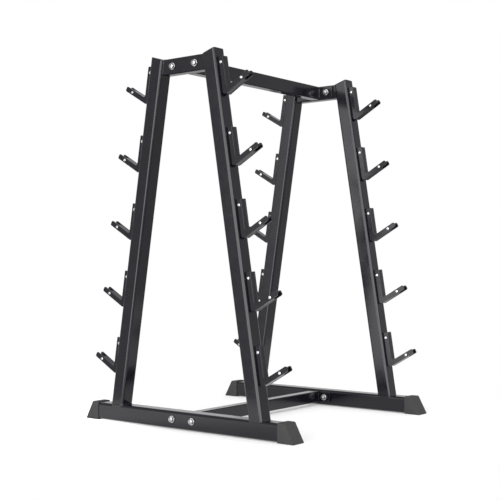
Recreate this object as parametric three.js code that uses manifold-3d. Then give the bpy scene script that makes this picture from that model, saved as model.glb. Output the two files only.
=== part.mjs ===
// Barbell storage rack: two trapezoid end frames of square tube, joined by an upper and a lower
// beam, with a column of rising hooks on the outer face of every leg.
// X runs across the rack, Y along the beams and Z up. The origin is on the floor, under the middle
// of the rack. Lengths are in millimetres.

import * as THREE from 'three';
import { mergeVertices } from 'three/addons/utils/BufferGeometryUtils.js';
import Module from 'manifold-3d';

const wasm = await Module();
wasm.setup();

// Whole rack
const frameSpacing = 872; // middle of the front frame to the middle of the rear one
const legSpread = 214; // how much further out a leg stands at its foot than at its top
const legTopZ = 1394; // middle of a leg's sloped top
const jointGap = 0.3; // air between two pieces that touch
const overrun = 20; // how far a cutter runs past what it cuts

// Square tube of the legs and base tubes
const tubeSize = 60;
const tubeWall = 3;
const tubeCorner = 9.5;
const baseHeight = 65;
const legTopAngle = THREE.MathUtils.degToRad(17.9); // slope of a leg's cut top

// Caps in the legs' tops
const capPlate = 4;
const capPlug = 14; // how far the plug reaches down inside the tube

// Tie between the tops of a frame's legs
const tieDepth = 40;
const tieHeight = 60;
const tieCorner = 5;
const tieDrop = 37; // middle of the tie below the middle of a leg's top
const legClearance = 16.6; // end of a beam's plate to the leg beside it

// Beams
const beamWidth = 40;
const beamCorner = 4;
const upperBeamHeight = 56;
const lowerBeamHeight = 48;
const lowerBeamRise = 2; // middle of the lower beam above the middle of the base tubes

// Plates on the beams' ends
const plateThickness = 8;
const plateCorner = 4;
const upperPlateHeight = 50;
const lowerPlateHeight = 38;
const upperBoltOffset = 35; // side of the beam to the bolt beside it
const lowerBoltOffset = 29;
const upperPlateEdge = 31; // bolt to the end of the plate
const lowerPlateEdge = 28;

// Bolts, nuts and washers
const boltDiameter = 12;
const boltClearance = 0.5; // round the shank in its holes
const threadClearance = 0.2; // round the shank in the nut
const hexWidth = 19; // across flats
const headHeight = 7.5;
const nutHeight = 10;
const boltTail = 5; // bolt past the nut
const washerDiameter = 26;
const washerThickness = 2.5;

// Rubber feet over the base tubes' ends
const footWall = 3;
const footOffset = 100; // middle of a leg's foot to the rim of the rubber foot
const footTopLength = 30;
const footSoleLength = 68.5;
const footEndWall = 6; // rubber past the tube's end, at the top
const footCorner = 4.5;

// Hooks
const hookCount = 5;
const hookTopDrop = 173; // lower edge of the top hook's arm below the middle of the leg's top
const hookFootRise = 111.5; // the lowest hook's arm above the base tube
const armRise = THREE.MathUtils.degToRad(30);
const armLength = 139.5; // along the arm's lower edge
const armWidth = 19.5;
const limbLength = 149; // from the arm's lower edge up the leg
const limbThickness = 22;
const hookWidth = 30;
const cheekThickness = 6;
const coreSetback = 29; // end of the core behind the end of the two side plates
const hookTipRadius = 5.5;
const hookRootRadius = 14; // at the leg, under the arm
const limbTopRadius = 3;
const saddleRadius = 7;
const screwHeadDiameter = 11.2;
const screwHeadHeight = 1.2;
const limbScrewDrop = 23; // below the limb's top
const limbScrewInset = 10; // off the leg
const armScrewSetback = 36.1; // behind the arm's end

// Steps in round shapes
const cornerSteps = 2;
const hexSides = 6;
const shankSides = 16;
const washerSides = 20;
const screwSides = 10;

// Places worked out from the sizes
const baseTopZ = footWall + baseHeight;
const baseMiddleZ = footWall + baseHeight / 2;
const tieZ = legTopZ - tieDrop;
const lean = Math.atan2(legSpread, legTopZ - baseTopZ);
const upperBoltX = beamWidth / 2 + upperBoltOffset;
const lowerBoltX = beamWidth / 2 + lowerBoltOffset;
const upperPlateWidth = 2 * (upperBoltX + upperPlateEdge);
const lowerPlateWidth = 2 * (lowerBoltX + lowerPlateEdge);
const legTieX = upperPlateWidth / 2 + legClearance + tubeSize / 2 / Math.cos(lean);
const legFootX = legTieX + (tieZ - baseTopZ) * Math.tan(lean);
const legLength = (legTopZ - baseTopZ) / Math.cos(lean);
const footRimX = legFootX + footOffset;
const baseEndX = footRimX + footTopLength - footEndWall;
const footEndAngle = Math.atan2(footSoleLength - footTopLength, baseHeight + 2 * footWall);

const xAxis = new THREE.Vector3(1, 0, 0);
const yAxis = new THREE.Vector3(0, 1, 0);
const zAxis = new THREE.Vector3(0, 0, 1);

// How a drawn section's x and y and its length lie in the piece
const lying = {
  alongX: new THREE.Matrix4().makeBasis(yAxis, zAxis, xAxis),
  alongY: new THREE.Matrix4().makeBasis(zAxis, xAxis, yAxis),
  alongZ: new THREE.Matrix4(),
  sideways: new THREE.Matrix4().makeBasis(xAxis, zAxis, yAxis.clone().negate()),
};

const paint = new THREE.MeshStandardMaterial({
  color: 0x17171a,
  roughness: 0.3,
  metalness: 0.1,
  flatShading: true,
});
const plastic = new THREE.MeshStandardMaterial({
  color: 0x1a1a1c,
  roughness: 0.45,
  metalness: 0,
  flatShading: true,
});
const rubber = new THREE.MeshStandardMaterial({
  color: 0x2b2b2e,
  roughness: 0.85,
  metalness: 0,
  flatShading: true,
});
const zinc = new THREE.MeshStandardMaterial({
  color: 0xc9cacd,
  roughness: 0.35,
  metalness: 1,
  flatShading: true,
});

// A closed three.js geometry as a solid that can be joined and cut
function toSolid(geometry) {
  geometry.deleteAttribute('normal');
  geometry.deleteAttribute('uv');
  const closed = mergeVertices(geometry);
  return new wasm.Manifold(
    new wasm.Mesh({
      numProp: 3,
      vertProperties: closed.attributes.position.array,
      triVerts: new Uint32Array(closed.index.array),
    }),
  );
}

function toMesh(name, solid, material) {
  const { vertProperties, triVerts } = solid.getMesh();
  const geometry = new THREE.BufferGeometry();
  geometry.setAttribute('position', new THREE.BufferAttribute(vertProperties, 3));
  geometry.setIndex(new THREE.BufferAttribute(triVerts, 1));
  const mesh = new THREE.Mesh(geometry, material);
  mesh.name = name;
  return mesh;
}

// A closed outline through corners given as [x, y, radius], anticlockwise, each rounded by an arc
function roundedOutline(corners) {
  const points = corners.map(([x, y]) => new THREE.Vector2(x, y));
  const shape = new THREE.Shape();
  points.forEach((corner, index) => {
    const radius = corners[index][2];
    const back = points.at(index - 1).clone().sub(corner).normalize();
    const ahead = points[(index + 1) % points.length].clone().sub(corner).normalize();
    const turn = Math.sign(ahead.cross(back));
    const halfAngle = Math.acos(back.dot(ahead)) / 2;
    const toCentre = back.clone().add(ahead).setLength(radius / Math.sin(halfAngle));
    const centre = corner.clone().add(toCentre);
    const startAngle = Math.atan2(turn * back.x, -turn * back.y);
    const sweep = turn * (Math.PI - 2 * halfAngle);
    shape.absarc(centre.x, centre.y, radius, startAngle, startAngle + sweep, turn < 0);
  });
  shape.closePath();
  return shape;
}

function rectangle(width, height, radius) {
  const [x, y] = [width / 2, height / 2];
  return roundedOutline([
    [-x, -y, radius],
    [x, -y, radius],
    [x, y, radius],
    [-x, y, radius],
  ]);
}

// The section of a hollow tube
function tubeSection(width, height, radius) {
  const section = rectangle(width, height, radius);
  const inside = rectangle(width - 2 * tubeWall, height - 2 * tubeWall, radius - tubeWall);
  section.holes.push(inside);
  return section;
}

// A section carried in a straight line from one cutting plane to another
function bar(section, placement, startPlane, endPlane) {
  const geometry = new THREE.ExtrudeGeometry(section, {
    depth: 1,
    bevelEnabled: false,
    curveSegments: cornerSteps,
  });
  const direction = zAxis.clone().transformDirection(placement);
  const position = geometry.attributes.position;
  const point = new THREE.Vector3();
  for (let index = 0; index < position.count; index++) {
    point.fromBufferAttribute(position, index);
    const plane = point.z > 0 ? endPlane : startPlane;
    point.setZ(0).applyMatrix4(placement);
    const travel = -plane.distanceToPoint(point) / plane.normal.dot(direction);
    point.addScaledVector(direction, travel);
    position.setXYZ(index, point.x, point.y, point.z);
  }
  return toSolid(geometry);
}

// The plane square to an axis, at a distance along it
function planeAt(axis, distance) {
  return new THREE.Plane(axis, -distance);
}

// The plane square to a direction in the X-Z plane, tilted by an angle from Z towards X
function tiltedPlane(angle, point) {
  const normal = new THREE.Vector3(Math.sin(angle), 0, Math.cos(angle));
  return new THREE.Plane().setFromNormalAndCoplanarPoint(normal, point);
}

// A round or many-sided rod along Y, from one Y to another
function rod(diameter, fromY, toY, sides, x = 0, z = 0) {
  const radius = diameter / 2;
  const geometry = new THREE.CylinderGeometry(radius, radius, toY - fromY, sides);
  geometry.translate(x, (fromY + toY) / 2, z);
  return toSolid(geometry);
}

function hexagon(fromY, toY) {
  return rod(hexWidth / Math.cos(Math.PI / hexSides), fromY, toY, hexSides);
}

// Cuts a pair of bolt holes, mirrored about the middle of the rack, through a piece
function withBoltHoles(solid, depth, boltX, z) {
  const reach = depth / 2 + overrun;
  const diameter = boltDiameter + 2 * boltClearance;
  return [-boltX, boltX].reduce(
    (piece, x) => piece.subtract(rod(diameter, -reach, reach, shankSides, x, z)),
    solid,
  );
}

// Leg tube in its own frame: Z up its middle from the base tube's top, X out of the rack
function legSolid() {
  const foot = tiltedPlane(lean, zAxis.clone().multiplyScalar(jointGap));
  const top = tiltedPlane(lean - legTopAngle, new THREE.Vector3(0, 0, legLength - capPlate));
  return bar(tubeSection(tubeSize, tubeSize, tubeCorner), lying.alongZ, foot, top);
}

function legCapSolid() {
  const levels = [capPlate + capPlug, capPlate - jointGap, capPlate / 2, 0];
  const planes = levels.map((depth) =>
    tiltedPlane(lean - legTopAngle, new THREE.Vector3(0, 0, legLength - depth)),
  );
  const [plugEnd, plateUnderside, plateMiddle, plateTop] = planes;
  const plate = bar(rectangle(tubeSize, tubeSize, tubeCorner), lying.alongZ, plateUnderside, plateTop);
  const plugSize = tubeSize - 2 * (tubeWall + jointGap);
  const plugSection = rectangle(plugSize, plugSize, tubeCorner - tubeWall);
  return plate.add(bar(plugSection, lying.alongZ, plugEnd, plateMiddle));
}

// Hook in its own frame: Z up the leg's outer face from the arm's lower edge, X off the leg
function hookSolid() {
  const tilt = armRise - lean;
  const arm = new THREE.Vector2(Math.cos(tilt), Math.sin(tilt));
  const across = new THREE.Vector2(-arm.y, arm.x);
  const onArm = (along, up) => arm.clone().multiplyScalar(along).addScaledVector(across, up);
  const saddleAlong = (limbThickness + armWidth * arm.y) / arm.x;
  const saddle = onArm(saddleAlong, armWidth);
  const lowerTip = onArm(armLength, 0);
  const upperTip = onArm(armLength, armWidth);
  const outline = roundedOutline([
    [0, 0, hookRootRadius],
    [lowerTip.x, lowerTip.y, hookTipRadius],
    [upperTip.x, upperTip.y, hookTipRadius],
    [saddle.x, saddle.y, saddleRadius],
    [limbThickness, limbLength, limbTopRadius],
    [0, limbLength, limbTopRadius],
  ]);
  const half = hookWidth / 2;
  const body = bar(outline, lying.sideways, planeAt(yAxis, half), planeAt(yAxis, -half));

  // The gap between the side plates past the end of the core
  const slotWidth = hookWidth - 2 * cheekThickness;
  const slot = new THREE.BoxGeometry(coreSetback + overrun, slotWidth, armWidth + 2 * overrun);
  const slotMiddle = onArm(armLength + (overrun - coreSetback) / 2, armWidth / 2);
  slot.rotateY(-tilt);
  slot.translate(slotMiddle.x, 0, slotMiddle.y);

  const armScrew = onArm(armLength - armScrewSetback, armWidth / 2);
  const limbScrew = new THREE.Vector2(limbScrewInset, limbLength - limbScrewDrop);
  const reach = half + screwHeadHeight;
  return [armScrew, limbScrew].reduce(
    (piece, place) => piece.add(rod(screwHeadDiameter, -reach, reach, screwSides, place.x, place.y)),
    body.subtract(toSolid(slot)),
  );
}

// Top tie along X, with both ends cut to the lean of the legs
function tieSolid() {
  const inner = tubeSize / 2 / Math.cos(lean) + jointGap;
  const right = tiltedPlane(Math.PI / 2 - lean, new THREE.Vector3(legTieX - inner, 0, tieZ));
  const left = tiltedPlane(lean - Math.PI / 2, new THREE.Vector3(inner - legTieX, 0, tieZ));
  const placement = lying.alongX.clone().setPosition(0, 0, tieZ);
  const tube = bar(tubeSection(tieDepth, tieHeight, tieCorner), placement, left, right);
  return withBoltHoles(tube, tieDepth, upperBoltX, tieZ);
}

function baseTubeSolid() {
  const placement = lying.alongX.clone().setPosition(0, 0, baseMiddleZ);
  const section = tubeSection(tubeSize, baseHeight, tubeCorner);
  const tube = bar(section, placement, planeAt(xAxis, -baseEndX), planeAt(xAxis, baseEndX));
  return withBoltHoles(tube, tubeSize, lowerBoltX, baseMiddleZ + lowerBeamRise);
}

// Foot for the base tube's end at +X, sloped outwards to its toe
function footSolid() {
  const placement = lying.alongX.clone().setPosition(0, 0, baseMiddleZ);
  const outer = rectangle(tubeSize + 2 * footWall, baseHeight + 2 * footWall, footCorner);
  const toe = new THREE.Vector3(footRimX + footSoleLength, 0, 0);
  const end = tiltedPlane(Math.PI / 2 - footEndAngle, toe);
  const block = bar(outer, placement, planeAt(xAxis, footRimX), end);
  const fit = 2 * jointGap;
  const pocket = rectangle(tubeSize + fit, baseHeight + fit, tubeCorner);
  const mouth = planeAt(xAxis, footRimX - overrun);
  return block.subtract(bar(pocket, placement, mouth, planeAt(xAxis, baseEndX + jointGap)));
}

function plateSolid(width, height, boltX) {
  const section = rectangle(width, height, plateCorner);
  const half = plateThickness / 2;
  const plate = bar(section, lying.sideways, planeAt(yAxis, half), planeAt(yAxis, -half));
  return withBoltHoles(plate, plateThickness, boltX, 0);
}

function beamSolid(height, length) {
  const section = tubeSection(height, beamWidth, beamCorner);
  return bar(section, lying.alongY, planeAt(yAxis, -length / 2), planeAt(yAxis, length / 2));
}

// Bolt along Y through a joint: Y runs in from the face that its washer sits on
function boltSolid(grip) {
  const headStart = -washerThickness - headHeight;
  const washer = rod(washerDiameter, -washerThickness, 0, washerSides);
  const tip = grip + washerThickness + nutHeight + boltTail;
  return hexagon(headStart, -washerThickness / 2)
    .add(washer)
    .add(rod(boltDiameter, headStart / 2, tip, shankSides));
}

function nutSolid() {
  const washer = rod(washerDiameter, 0, washerThickness, washerSides);
  const nut = hexagon(washerThickness / 2, washerThickness + nutHeight);
  const bore = rod(boltDiameter + 2 * threadClearance, -overrun, nutHeight + overrun, shankSides);
  return washer.add(nut).subtract(bore);
}

// One side of an end frame: leg, cap, hooks and foot, built for +X
function frameSide(solids, place) {
  const side = new THREE.Group();
  side.add(toMesh(`foot_${place}`, solids.foot, rubber));

  const leg = new THREE.Group();
  leg.position.set(legFootX, 0, baseTopZ);
  leg.rotation.y = -lean;
  leg.add(toMesh(`leg_${place}`, solids.leg, paint));
  leg.add(toMesh(`leg_cap_${place}`, solids.legCap, plastic));

  const faceFootZ = tubeSize / 2 * Math.tan(lean);
  const highest = (legTopZ - hookTopDrop - baseTopZ) / Math.cos(lean) - faceFootZ;
  const lowest = hookFootRise / Math.cos(lean) - faceFootZ;
  for (let index = 0; index < hookCount; index++) {
    const hook = toMesh(`hook_${place}_${index + 1}`, solids.hook, paint);
    const height = THREE.MathUtils.lerp(highest, lowest, index / (hookCount - 1));
    hook.position.set(tubeSize / 2 + jointGap, 0, height);
    leg.add(hook);
  }
  side.add(leg);
  return side;
}

// The bolted joint at one end of a beam: its plate, and two bolts with their nuts
function beamJoint(solids, kind, frameName, facing, faceY, depth, boltX, z) {
  const joint = new THREE.Group();
  const plate = toMesh(`${kind}_beam_plate_${frameName}`, solids[`${kind}Plate`], paint);
  plate.position.set(0, faceY + jointGap + plateThickness / 2, z);
  joint.add(plate);
  for (const sign of [-1, 1]) {
    const place = `${frameName}_${sign * facing > 0 ? 'right' : 'left'}`;
    const bolt = toMesh(`${kind}_bolt_${place}`, solids[`${kind}Bolt`], zinc);
    bolt.position.set(sign * boltX, faceY - depth - jointGap, z);
    const nut = toMesh(`${kind}_nut_${place}`, solids.nut, zinc);
    nut.position.set(sign * boltX, faceY + plateThickness + 2 * jointGap, z);
    joint.add(bolt, nut);
  }
  return joint;
}

// An end frame, with its outer face towards -Y
function endFrame(solids, frameName, facing) {
  const frame = new THREE.Group();
  frame.add(toMesh(`base_tube_${frameName}`, solids.baseTube, paint));
  frame.add(toMesh(`top_tie_${frameName}`, solids.tie, paint));
  for (const sign of [-1, 1]) {
    const place = `${frameName}_${sign * facing > 0 ? 'right' : 'left'}`;
    const side = frameSide(solids, place);
    side.rotation.z = sign > 0 ? 0 : Math.PI;
    frame.add(side);
  }
  const lowerZ = baseMiddleZ + lowerBeamRise;
  frame.add(beamJoint(solids, 'upper', frameName, facing, tieDepth / 2, tieDepth, upperBoltX, tieZ));
  frame.add(beamJoint(solids, 'lower', frameName, facing, tubeSize / 2, tubeSize, lowerBoltX, lowerZ));
  return frame;
}

const layers = plateThickness + 3 * jointGap; // plate and the air on its joint's faces
const solids = {
  leg: legSolid(),
  legCap: legCapSolid(),
  hook: hookSolid(),
  tie: tieSolid(),
  baseTube: baseTubeSolid(),
  foot: footSolid(),
  upperPlate: plateSolid(upperPlateWidth, upperPlateHeight, upperBoltX),
  lowerPlate: plateSolid(lowerPlateWidth, lowerPlateHeight, lowerBoltX),
  upperBolt: boltSolid(tieDepth + layers),
  lowerBolt: boltSolid(tubeSize + layers),
  nut: nutSolid(),
};

const rack = new THREE.Group();

const frontFrame = endFrame(solids, 'front', 1);
frontFrame.position.y = -frameSpacing / 2;
const rearFrame = endFrame(solids, 'rear', -1);
rearFrame.position.y = frameSpacing / 2;
rearFrame.rotation.z = Math.PI;
rack.add(frontFrame, rearFrame);

const endAir = 2 * (plateThickness + 2 * jointGap);
const upperLength = frameSpacing - tieDepth - endAir;
const upperBeam = toMesh('upper_beam', beamSolid(upperBeamHeight, upperLength), paint);
upperBeam.position.z = tieZ;
const lowerLength = frameSpacing - tubeSize - endAir;
const lowerBeam = toMesh('lower_beam', beamSolid(lowerBeamHeight, lowerLength), paint);
lowerBeam.position.z = baseMiddleZ + lowerBeamRise;
rack.add(upperBeam, lowerBeam);

export default rack;
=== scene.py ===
"""Barbell storage rack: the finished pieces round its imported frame, their materials and the studio.

The frame gives the place and the main size of every tube, plate, hook and bolt. This file adds what
the frame leaves plain: rounded corners and rims, the plates, core and screws of the hooks, threads,
weld beads, and the paint, rubber, plastic and zinc. Lengths are in metres, X runs across the rack,
Y along the beams and Z up.
"""

import math

import bmesh
import bpy
import numpy as np
from bpy.props import FloatProperty, FloatVectorProperty, PointerProperty
from mathutils import Euler, Matrix, Vector


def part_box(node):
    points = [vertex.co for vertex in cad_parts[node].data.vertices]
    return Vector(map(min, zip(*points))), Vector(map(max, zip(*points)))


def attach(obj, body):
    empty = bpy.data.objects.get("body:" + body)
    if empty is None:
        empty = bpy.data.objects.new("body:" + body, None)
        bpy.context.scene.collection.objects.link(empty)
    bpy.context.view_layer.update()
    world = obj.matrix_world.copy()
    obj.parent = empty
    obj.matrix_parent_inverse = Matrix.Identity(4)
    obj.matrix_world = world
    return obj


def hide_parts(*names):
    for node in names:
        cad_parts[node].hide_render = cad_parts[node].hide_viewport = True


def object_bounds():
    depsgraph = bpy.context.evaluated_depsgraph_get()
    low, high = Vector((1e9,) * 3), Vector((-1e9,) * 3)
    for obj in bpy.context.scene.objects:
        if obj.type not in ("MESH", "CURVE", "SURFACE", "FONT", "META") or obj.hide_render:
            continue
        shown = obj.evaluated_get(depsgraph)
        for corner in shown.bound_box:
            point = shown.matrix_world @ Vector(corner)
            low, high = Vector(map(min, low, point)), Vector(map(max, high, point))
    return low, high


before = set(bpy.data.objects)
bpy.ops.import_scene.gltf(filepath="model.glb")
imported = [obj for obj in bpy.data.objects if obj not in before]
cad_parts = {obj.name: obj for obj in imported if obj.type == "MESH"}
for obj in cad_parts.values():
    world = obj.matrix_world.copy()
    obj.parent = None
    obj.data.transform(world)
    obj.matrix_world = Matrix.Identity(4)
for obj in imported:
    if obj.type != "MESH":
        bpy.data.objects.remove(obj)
CAD_BOX = [list(corner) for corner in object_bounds()]

bl_info = {
    "name": "Barbell Storage Rack",
    "version": (1, 0, 0),
    "blender": (4, 5, 0),
    "location": "View3D > Sidebar > Rack",
    "description": "Makes the finished pieces, materials and studio of a barbell storage rack",
    "category": "Add Mesh",
}

ENDS = ("front", "rear")
SIDES = ("left", "right")
BEAMS = ("upper", "lower")
PLACES = [f"{end}_{side}" for end in ENDS for side in SIDES]
JOINTS = [(beam, end) for end in ENDS for beam in BEAMS]

# How a drawn section's x and y and its length lie in the rack, as columns
ALONG_X = np.array([[0, 0, 1], [1, 0, 0], [0, 1, 0]], float)
ALONG_Y = np.array([[0, 1, 0], [0, 0, 1], [1, 0, 0]], float)
SIDEWAYS = np.array([[1, 0, 0], [0, 0, -1], [0, 1, 0]], float)


def span(node):
    """The lowest and highest corner of a node of the frame, as arrays."""
    low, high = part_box(node)
    return np.array(low), np.array(high)


def middle(node):
    return sum(span(node)) / 2


def leg_width():
    low, high = span("leg_front_right")
    return high[1] - low[1]


def measured_lean():
    """The angle of the legs, from the step between the highest and the lowest hook of one leg."""
    step = span("hook_front_right_1")[0] - span("hook_front_right_5")[0]
    return math.atan2(-step[0], step[2])


# Sizes and colours


def number(name, description, default, **details):
    return FloatProperty(name=name, description=description, default=default, **details)


def length(name, description, default):
    details = {"min": 0, "precision": 4, "unit": "LENGTH", "subtype": "DISTANCE"}
    return number(name, description, default, **details)


def angle(name, description, default):
    return number(name, description, default, unit="ROTATION", subtype="ANGLE")


def amount(name, description, default, highest=1):
    return number(name, description, default, min=0, max=highest)


def point(name, description, default):
    details = {"unit": "LENGTH", "subtype": "TRANSLATION"}
    return FloatVectorProperty(name=name, description=description, default=default, **details)


def colour(name, description, default):
    details = {"min": 0, "max": 1, "subtype": "COLOR"}
    return FloatVectorProperty(name=name, description=description, default=default, **details)


class TubeSizes(bpy.types.PropertyGroup):
    """Sizes of the tubes, caps, plates and feet that the frame doesn't give"""

    lean: angle("Lean", "Angle of the legs from upright", measured_lean())
    top_slope: angle("Top slope", "Slope of the legs' cut tops from level", math.radians(17.9))
    wall: length("Wall", "Thickness of the tubes' walls", 0.003)
    corner: length("Corner", "Outer radius of the legs' and base tubes' corners", 0.0095)
    tie_corner: length("Tie corner", "Outer radius of the ties' corners", 0.005)
    beam_corner: length("Beam corner", "Outer radius of the beams' corners", 0.004)
    plate_corner: length("Plate corner", "Radius of the beam plates' corners", 0.004)
    plate_rim: length("Plate rim", "Rounding of the beam plates' edges", 0.0008)
    cap_thickness: length("Cap", "Height of a leg cap above the tube", 0.004)
    cap_plug: length("Cap plug", "Depth of a leg cap's plug in the tube", 0.014)
    cap_rim: length("Cap rim", "Rounding of a leg cap's upper edge", 0.0016)
    gap: length("Gap", "Air between pieces that touch", 0.0003)
    foot_top: length("Foot top", "Length of a rubber foot along its top", 0.030)
    foot_corner: length("Foot corner", "Outer radius of a rubber foot's corners", 0.0045)
    foot_edge: length("Foot edge", "Rounding of a rubber foot's end", 0.0015)
    foot_lip: length("Foot lip", "Rounding of a rubber foot's rim", 0.0008)


class HookSizes(bpy.types.PropertyGroup):
    """Sizes of the hooks' plates, cores and screws"""

    arm_rise: angle("Arm rise", "Slope of the arms from level", math.radians(30))
    arm_length: length("Arm", "Length of an arm along its lower edge", 0.1395)
    arm_width: length("Arm width", "Height of an arm across its slope", 0.0195)
    limb_length: length("Limb", "Height of a hook along the leg", 0.149)
    limb_width: length("Limb width", "How far a limb stands off the leg", 0.022)
    plate_thickness: length("Side plate", "Thickness of a side plate", 0.006)
    plate_rim: length("Side plate rim", "Rounding of the side plates' edges", 0.001)
    core_setback: length("Core setback", "End of the core behind the plates' ends", 0.029)
    core_depth: length("Core depth", "How far the core lies inside the plates' edges", 0.0006)
    core_gap: length("Core gap", "Groove between the core and each side plate", 0.0001)
    core_rim: length("Core rim", "Rounding of the core's edges", 0.0007)
    tip_radius: length("Tip radius", "Corners of the arm's end", 0.0055)
    root_radius: length("Root radius", "Corner at the leg, under the arm", 0.014)
    top_radius: length("Top radius", "Corners of the limb's top", 0.003)
    saddle_radius: length("Saddle radius", "Inner corner where the bar lies", 0.007)
    screw_head: length("Screw head", "Diameter of a screw's head", 0.0112)
    screw_height: length("Screw height", "Height of a screw's head", 0.0012)
    screw_shank: length("Screw shank", "Diameter of a screw's shank", 0.008)
    screw_socket: length("Screw socket", "Width across the flats of a screw's socket", 0.005)
    arm_screw: length("Arm screw", "Arm's screw behind the arm's end", 0.0361)
    limb_screw_drop: length("Limb screw drop", "Limb's screw below the limb's top", 0.023)
    limb_screw_inset: length("Limb screw inset", "Limb's screw off the leg", 0.010)


class BoltSizes(bpy.types.PropertyGroup):
    """Sizes of the hexagon bolts, nuts and washers"""

    shank: length("Shank", "Diameter of a bolt", 0.012)
    hexagon: length("Hexagon", "Width of heads and nuts across their flats", 0.019)
    hexagon_corner: length("Hexagon corner", "What a circle cuts off each corner", 0.0004)
    head: length("Head", "Height of a bolt's head", 0.0075)
    chamfer: amount("Chamfer", "Flat end of a head, as a share of its width", 0.93)
    threaded: length("Threaded end", "Length of the thread at a bolt's point", 0.008)
    pitch: length("Pitch", "Rise of the thread in one turn", 0.00175)
    thread: length("Thread", "Depth of the thread", 0.0009)
    washer: length("Washer", "Diameter of a washer", 0.026)
    washer_height: length("Washer height", "Thickness of a washer", 0.0025)
    washer_rim: length("Washer rim", "Rounding of a washer's edges", 0.0005)
    washer_play: length("Washer play", "Air between a bolt and its washer", 0.0005)
    nut_play: length("Nut play", "Air between a bolt and its nut", 0.0002)


class WeldSizes(bpy.types.PropertyGroup):
    """Sizes of the weld beads under the paint"""

    bead: length("Bead", "Width of a bead on each of the faces that it joins", 0.0015)
    pitch: length("Pitch", "Distance from one ripple of a bead to the next", 0.0026)
    ripple: amount("Ripple", "Height of a ripple, as a share of the bead", 0.08)
    bulge: amount("Bulge", "How round a bead is, as a share of its width", 0.1)
    step: length("Step", "Distance from one section of a bead to the next", 0.0007)


class Finishes(bpy.types.PropertyGroup):
    """Colours of the materials"""

    paint: colour("Paint", "Colour of the powder coat", (0.0034, 0.0032, 0.0062))
    dust: colour("Dust", "Colour of the faint dust on the paint", (0.006, 0.0057, 0.0088))
    plastic: colour("Plastic", "Colour of the leg caps", (0.012, 0.012, 0.013))
    rubber: colour("Rubber", "Colour of the feet", (0.0415, 0.0415, 0.0415))
    bloom: colour("Bloom", "Colour of the pale bloom on the rubber", (0.051, 0.051, 0.05))
    zinc: colour("Zinc", "Colour of the washers and screws", (0.54, 0.545, 0.55))
    tarnish: colour("Tarnish", "Colour of the zinc's dull patches", (0.42, 0.42, 0.41))
    # The bolts' colour and its patches: a darker copy of the zinc on the bolts and nuts, painted shade
    # that tones their brightly lit heads down next to the washers
    bolt: colour("Bolts", "Colour of the bolts' and nuts' duller zinc", (0.38, 0.385, 0.39))
    stain_and_shade: colour("Stain", "Colour of the bolts' dull patches", (0.26, 0.26, 0.26))


class Studio(bpy.types.PropertyGroup):
    """Camera, floor and lights"""

    camera_place: point("Camera", "Place of the camera", (2.5753, -3.3357, 0.6294))
    camera_pitch: angle("Pitch", "Camera's tilt above level", math.radians(0.564))
    camera_yaw: angle("Yaw", "Camera's turn from +Y towards -X", math.radians(38.141))
    camera_roll: angle("Roll", "Camera's turn about its own axis", math.radians(-0.07))
    focal_length: number("Focal length", "Of the lens, in millimetres", 74.82, min=1, unit="CAMERA")
    floor_size: length("Floor", "Width of the floor", 2.36)
    floor_turn: angle("Floor turn", "Turn of the floor about +Z", math.radians(-33))
    floor_colour: colour("Floor colour", "Colour of the floor", (0.8, 0.8, 0.8))
    floor_glow: amount("Floor glow", "White added to the floor where it is seen", 0.25)
    # A painted pool of light: more white on the floor in front of the rack, seen in the shiny faces
    painted_light_pool: amount("Front glow", "More white added in front of the rack", 0.75)
    glow: amount("Glow", "Tone of the surroundings all round", 0.64, 5)
    bank: amount("Light bank", "Added tone of the low lights at the camera's side", 4.8, 6)
    backdrop: amount("Backdrop", "Added tone of the backdrop behind the rack", 0.28, 5)
    lamp: number("Lamp", "Power of the soft lamp over the rack", 40, min=0, unit="POWER")
    lamp_size: length("Lamp size", "Width of the soft lamp", 3)
    lamp_place: point("Lamp place", "Place of the soft lamp", (0.6, -0.8, 4))


# Outlines and skins


def unit(vectors):
    return vectors / np.linalg.norm(vectors, axis=-1, keepdims=True)


def quarter_turn(vectors):
    """The normals to the right of some directions in the plane."""
    return np.stack([vectors[..., 1], -vectors[..., 0]], -1)


def rounded_outline(corners, steps):
    """A closed outline through corners given as (x, y, radius), anticlockwise, with its outward
    normals. Each corner becomes an arc that touches both of its sides: the normal turns evenly from
    one side's to the other's, and the arc's points lie one radius along it from the arc's centre."""
    corners = np.array(corners, float)
    at, radius = corners[:, None, :2], corners[:, None, 2:]
    back = unit(np.roll(at, 1, 0) - at)
    ahead = unit(np.roll(at, -1, 0) - at)
    half = np.arccos((back * ahead).sum(-1, keepdims=True)) / 2
    centre = at + unit(back + ahead) * radius / np.sin(half)
    first, last = quarter_turn(-back), quarter_turn(ahead)
    hollow = (first * ahead).sum(-1, keepdims=True) > 0
    turn = math.pi - 2 * half
    share = np.linspace(0, 1, steps + 1)[None, :, None]
    normals = np.sin((1 - share) * turn) * first + np.sin(share * turn) * last
    normals = normals / np.sin(turn)
    points = centre + np.where(hollow, -radius, radius) * normals
    return points.reshape(-1, 2), normals.reshape(-1, 2)


def rectangle(width, height, radius, steps=10):
    x, y = width / 2, height / 2
    corners = [(-x, -y, radius), (x, -y, radius), (x, y, radius), (-x, y, radius)]
    return rounded_outline(corners, steps)


def level(height):
    """A level plane, in the way that lifted takes a plane."""
    return height, 0, 0


def lifted(flat, plane):
    """Points of the drawing, raised to a plane given as its height and its slopes along x and y."""
    rise, slope_x, slope_y = plane
    height = rise + slope_x * flat[..., :1] + slope_y * flat[..., 1:]
    return np.concatenate([flat, height], -1)


def tube(width, height, corner, wall, start, end):
    """A hollow bar as four rows: the outer section at its two ends, then the inner one back again.
    Each end lies in its cutting plane."""
    outer, outward = rectangle(width, height, corner)
    inner, inward = rectangle(width - 2 * wall, height - 2 * wall, corner - wall)
    rows = [lifted(outer, start), lifted(outer, end), lifted(inner, end), lifted(inner, start)]
    facing = [lifted(way, level(0)) for way in (outward, outward, -inward, -inward)]
    return np.array(rows), np.array(facing), "joined"


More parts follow.
